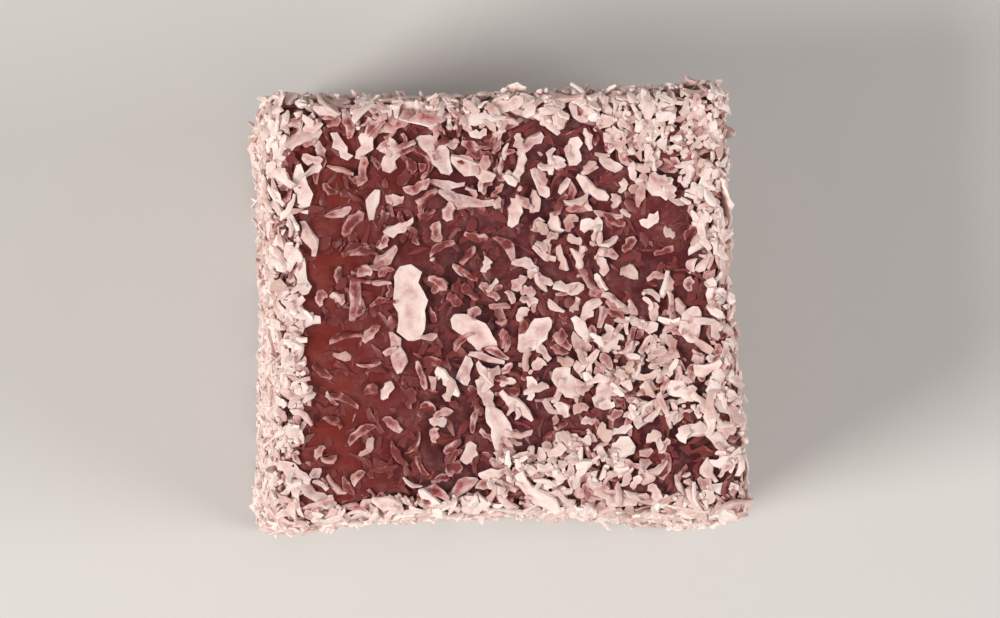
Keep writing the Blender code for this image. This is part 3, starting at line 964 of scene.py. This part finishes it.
def build_flakes(name, rows, material):
    """One piece of coconut: all the flakes of a kind, each closed, with its cell of the map."""
    kind = KINDS[name]
    chance = np.random.default_rng(len(name))
    points, heights, middles = flake_points(kind, rows, chance)
    loops, sizes, places = flake_faces(kind)
    count, each = points.shape[:2]
    all_loops = (loops[None] + np.arange(count)[:, None] * each).ravel()
    piece = mesh_from(name, points.reshape(-1, 3), all_loops, np.tile(sizes, count))

    side = math.ceil(math.sqrt(count))
    numbers = np.arange(count)
    corner = np.stack([numbers % side, numbers // side], axis=1)[:, None]
    inset = CELL_MARGIN + (1 - 2 * CELL_MARGIN) * places[None]
    add_map(piece.data, "OFBake", (corner + inset) / side)
    length, width, _ = np.array([row["size"] for row in rows]).T
    true_size = np.stack([length, width * GRAIN_STRETCH], axis=1)[:, None] / MM
    shift = chance.uniform(0, GRAIN_SHIFT, (count, 1, 2))
    add_map(piece.data, "grain", places[None] * true_size + shift)

    tone = np.array([row["tone"] for row in rows])
    soak_and_shade = np.array([row["soak_and_shade"] for row in rows])
    low = np.clip(1 - heights / DAMP_BELOW, 0, 1)
    stained_and_shaded = soak_and_shade[:, None] * (1 + kind["stain"] * middles)
    add_values(piece.data, "tone", np.repeat(tone, each))
    add_values(piece.data, "soak_and_shade", stained_and_shaded + DAMP * low)
    add_values(piece.data, "middle", middles.ravel())
    piece.data.shade_smooth()
    piece.data.set_sharp_from_angle(angle=SHARP_FROM)
    piece.data.materials.append(material)
    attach(piece, "root")
    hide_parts(NODE)


def build_jelly(material):
    """The jelly: the block's shape, drawn in where coconut coats it, with the crumb packed onto it."""
    lines = np.linspace(-1, 1, JELLY_CELLS + 1)
    numbers = {}
    points, coats, crumbs = [], [], []
    loops, places = [], []
    for cell, (out, across, up) in enumerate(FACES.values()):
        grid = np.empty((JELLY_CELLS + 1, JELLY_CELLS + 1), int)
        for i, u in enumerate(lines):
            for j, v in enumerate(lines):
                cube = out + across * u + up * v
                key = tuple(round(c * JELLY_CELLS) for c in cube)
                if key not in numbers:
                    numbers[key] = len(points)
                    points.append(rounded(cube))
                grid[i, j] = numbers[key]
        corners = np.stack([grid[:-1, :-1], grid[1:, :-1], grid[1:, 1:], grid[:-1, 1:]], axis=-1)
        loops.append(corners.reshape(-1))
        i, j = np.meshgrid(np.arange(JELLY_CELLS), np.arange(JELLY_CELLS), indexing="ij")
        steps = np.array([(0, 0), (1, 0), (1, 1), (0, 1)])
        spot = np.stack([i, j], axis=-1)[..., None, :] + steps
        inset = JELLY_MARGIN + (1 - 2 * JELLY_MARGIN) * spot / JELLY_CELLS
        corner = (cell % MAP_CELLS[0], cell // MAP_CELLS[0])
        places.append(((inset + corner) / MAP_CELLS).reshape(-1, 2))
    moved = []
    for even in points:
        normal = (even - core_under(even)).normalized()
        point = settled(even)
        coat = 1 - max(0.0, normal.z) ** 2
        if normal.z > 0.5:
            coat = max(coat, RIM_COAT * rim_share(even))
        near = noise.voronoi(point / CRUMB_SPACING)[0]
        crumb = min(1.0, near[1] - near[0])
        skin = noise.fractal(point / SKIN_SPACING, *SKIN_OCTAVES) * SKIN_RELIEF * (1 - coat)
        drawn_in = SIDE_INSET * (1 - max(0.0, normal.z))
        moved.append(point + normal * (skin + coat * (CRUMB_RELIEF * (crumb - 0.5)) - drawn_in))
        coats.append(coat)
        crumbs.append(crumb)
    all_loops = np.concatenate(loops)
    sizes = np.full(len(all_loops) // 4, 4)
    jelly = mesh_from("rose_jelly_block", np.array(moved), all_loops, sizes)
    add_map(jelly.data, "OFBake", np.concatenate(places))
    add_values(jelly.data, "coat", np.array(coats))
    add_values(jelly.data, "crumb", np.array(crumbs))
    jelly.data.shade_smooth()
    jelly.data.materials.append(material)
    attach(jelly, "root")
    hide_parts(NODE)


def node(tree, kind, sockets=None, **settings):
    """A new shader node, with its settings and with values or links on its sockets."""
    made = tree.nodes.new("ShaderNode" + kind)
    for name, value in settings.items():
        setattr(made, name, value)
    for name, value in (sockets or {}).items():
        if isinstance(value, bpy.types.NodeSocket):
            tree.links.new(value, made.inputs[name])
        else:
            made.inputs[name].default_value = value
    return made


def new_material(name):
    material = bpy.data.materials.new(name)
    material.use_nodes = True
    return material, material.node_tree, material.node_tree.nodes["Principled BSDF"]


def mixed(tree, share, first, second, blend="MIX"):
    """The colour that far from the first to the second."""
    sockets = {0: share, 6: first, 7: second}
    return node(tree, "Mix", sockets, data_type="RGBA", blend_type=blend).outputs[2]


def ranged(tree, value, low, high, to_low, to_high):
    """The value, brought from between low and high to between the other two."""
    sockets = {"Value": value, "From Min": low, "From Max": high, "To Min": to_low, "To Max": to_high}
    return node(tree, "MapRange", sockets).outputs[0]


def noise_at(tree, vector, scale, detail=3.0, rough=0.6):
    sockets = {"Vector": vector, "Scale": scale, "Detail": detail, "Roughness": rough}
    return node(tree, "TexNoise", sockets).outputs[0]


def attribute(tree, name):
    return node(tree, "Attribute", attribute_name=name).outputs["Fac"]


def maths(tree, operation, *values, clamp=False):
    sockets = dict(enumerate(values))
    return node(tree, "Math", sockets, operation=operation, use_clamp=clamp).outputs[0]


def coconut_material():
    """Dry, fibrous, cream-white coconut, darker and pink where it has soaked up the jelly, and on the
    coat's lower-lying flakes also as painted shade.
    """
    material, tree, shader = new_material("coconut")
    place = node(tree, "TexCoord").outputs["Object"]
    grain = node(tree, "UVMap", uv_map="grain").outputs[0]
    stretched = node(tree, "Mapping", {"Vector": grain, "Scale": (0.9, 2.7, 1.0)}).outputs[0]
    fibre = noise_at(tree, stretched, 1.0, 4.0, 0.65)
    blotch = noise_at(tree, place, 1600.0, 3.0)

    tone = maths(tree, "POWER", attribute(tree, "tone"), 2.0)
    streaks = ranged(tree, fibre, 0.32, 0.68, 0.42, -0.36)
    deep = maths(tree, "ADD", tone, streaks, clamp=True)
    dry = mixed(tree, deep, DRY, DRY_DEEP)
    thin = ranged(tree, attribute(tree, "middle"), 0.0, 0.8, 0.62, 1.25)
    wet_and_shade = maths(tree, "MULTIPLY", attribute(tree, "soak_and_shade"), thin)
    fibrous = ranged(tree, fibre, 0.3, 0.7, -0.25, 0.25)
    uneven = maths(tree, "ADD", ranged(tree, blotch, 0.35, 0.65, 0.55, 1.35), fibrous)
    stain = ranged(tree, blotch, 0.45, 0.7, 0.0, 0.12)
    soak_and_shade = maths(tree, "MULTIPLY_ADD", wet_and_shade, uneven, stain, clamp=True)
    # Pinker and darker with the soak value: syrup soaking, and on the coat's lower-lying flakes partly
    # painted shade
    soaked_and_shaded = mixed(tree, ranged(tree, soak_and_shade, 0.0, 0.7, 0.0, 1.0), dry, SOAKED_AND_SHADED)
    colour = mixed(tree, ranged(tree, soak_and_shade, 0.7, 1.0, 0.0, 1.0), soaked_and_shaded, SUNK)
    tree.links.new(colour, shader.inputs["Base Color"])
    rough = ranged(tree, fibre, 0.3, 0.7, 0.48, 0.72)
    gloss = ranged(tree, soak_and_shade, 0.3, 1.0, 0.0, -0.18)
    tree.links.new(maths(tree, "ADD", rough, gloss), shader.inputs["Roughness"])
    bump = node(tree, "Bump", {"Strength": 0.7, "Distance": 0.05 * MM, "Height": fibre})
    tree.links.new(bump.outputs[0], shader.inputs["Normal"])
    shader.inputs["Subsurface Weight"].default_value = 0.3
    shader.inputs["Subsurface Radius"].default_value = (1.0, 0.62, 0.5)
    shader.inputs["Subsurface Scale"].default_value = 0.25 * MM
    shader.inputs["Specular IOR Level"].default_value = 0.4
    return material


def jelly_material():
    """Dark wine-red jelly under a thin pale veil, partly starch dust and partly painted sheen, and
    packed coconut crumb on its sides, with painted shade in the crumb's crevices.
    """
    material, tree, shader = new_material("rose_jelly")
    place = node(tree, "TexCoord").outputs["Object"]
    broad = noise_at(tree, place, 160.0, 3.0)
    cloud = noise_at(tree, place, 620.0, 4.0, 0.65)
    dust = noise_at(tree, place, 3200.0, 4.0, 0.7)
    axis_x = node(tree, "SeparateXYZ", {"Vector": place}).outputs[0]

    wine = mixed(tree, ranged(tree, broad, 0.38, 0.62, 0.0, 1.0), JELLY_DEEP, JELLY_WINE)
    ember = ranged(tree, axis_x, -3.0 * MM, -8.5 * MM, 0.0, 0.85)
    wine = mixed(tree, ember, wine, JELLY_EMBER)
    # The pale veil, in clouds and fine specks and heavier towards the right: partly starch dust,
    # partly painted sheen
    clouded = ranged(tree, cloud, 0.42, 0.72, 0.0, 0.55)
    dust_and_sheen = maths(tree, "MULTIPLY", clouded, ranged(tree, dust, 0.35, 0.65, 0.1, 1.0))
    veil_and_sheen = maths(tree, "MULTIPLY", dust_and_sheen, ranged(tree, axis_x, -8.0 * MM, 8.0 * MM, 0.6, 1.4))
    bare = mixed(tree, veil_and_sheen, wine, STARCH_AND_SHEEN)

    # Painted shade: the packed crumb is darkest in the crevices where its relief is lowest, as well as
    # in fine random specks
    crumb = ranged(tree, attribute(tree, "crumb"), 0.1, 0.55, 0.0, 1.0)
    out_of_gap_shade = maths(tree, "MULTIPLY", crumb, ranged(tree, dust, 0.3, 0.6, 0.5, 1.0))
    packed = mixed(tree, out_of_gap_shade, PACKED_GAP_JELLY_AND_SHADE, PACKED)
    coated_by = maths(tree, "ADD", attribute(tree, "coat"), ranged(tree, dust, 0.3, 0.7, -0.3, 0.3))
    shown = ranged(tree, coated_by, 0.35, 0.75, 0.0, 1.0)
    tree.links.new(mixed(tree, shown, bare, packed), shader.inputs["Base Color"])
    rough = ranged(tree, cloud, 0.3, 0.7, 0.28, 0.48)
    tree.links.new(maths(tree, "MULTIPLY_ADD", shown, 0.3, rough), shader.inputs["Roughness"])
    bump = node(tree, "Bump", {"Strength": 0.6, "Distance": 0.05 * MM, "Height": dust})
    tree.links.new(bump.outputs[0], shader.inputs["Normal"])
    shader.inputs["Specular IOR Level"].default_value = 0.3
    shader.inputs["Subsurface Weight"].default_value = 0.35
    shader.inputs["Subsurface Radius"].default_value = (1.0, 0.18, 0.14)
    shader.inputs["Subsurface Scale"].default_value = 1.2 * MM
    return material


def build_floor():
    mesh = bpy.data.meshes.new("floor")
    corners = [(x * FLOOR_HALF, y * FLOOR_HALF, 0) for x, y in ((-1, -1), (1, -1), (1, 1), (-1, 1))]
    mesh.from_pydata(corners, [], [(0, 1, 2, 3)])
    floor = bpy.data.objects.new("floor", mesh)
    bpy.context.scene.collection.objects.link(floor)
    material, _, shader = new_material("floor")
    shader.inputs["Base Color"].default_value = FLOOR_COLOUR
    shader.inputs["Roughness"].default_value = 0.7
    mesh.materials.append(material)


def add_light(name, place, size, power, colour):
    data = bpy.data.lights.new(name, "AREA")
    data.shape = "DISK"
    data.size = size
    data.energy = power
    data.color = colour
    light = bpy.data.objects.new(name, data)
    light.location = place
    light.rotation_mode = "QUATERNION"
    light.rotation_quaternion = (LOOK_AT - Vector(place)).to_track_quat("-Z", "Y")
    bpy.context.scene.collection.objects.link(light)


def light_scene():
    """A soft window to the left, a weaker and larger one to the right, and a pale surround."""
    for row in LIGHTS:
        add_light(*row)
    world = bpy.data.worlds.new("surround")
    world.use_nodes = True
    background = world.node_tree.nodes["Background"]
    background.inputs["Color"].default_value = SURROUND_COLOUR
    background.inputs["Strength"].default_value = SURROUND_STRENGTH
    bpy.context.scene.world = world
    bpy.context.scene.view_settings.view_transform = "Standard"
    bpy.context.scene.view_settings.look = "None"


def add_camera():
    data = bpy.data.cameras.new("camera")
    data.lens = CAMERA_LENS
    data.clip_start, data.clip_end = CAMERA_CLIP
    camera = bpy.data.objects.new("camera", data)
    back = TO_CAMERA.normalized()
    x_axis = Vector((0, 1, 0)).cross(back).normalized()
    turned = Matrix((x_axis, back.cross(x_axis), back)).transposed()
    camera.matrix_world = Matrix.Translation(LOOK_AT + back * CAMERA_DISTANCE) @ turned.to_4x4()
    bpy.context.scene.collection.objects.link(camera)
    bpy.context.scene.camera = camera


def build():
    noise.seed_set(LUMP_SEED)
    add_camera()
    light_scene()
    build_floor()
    build_jelly(jelly_material())
    coconut = coconut_material()
    for name, rows in coated().items():
        build_flakes(name, rows, coconut)


build()
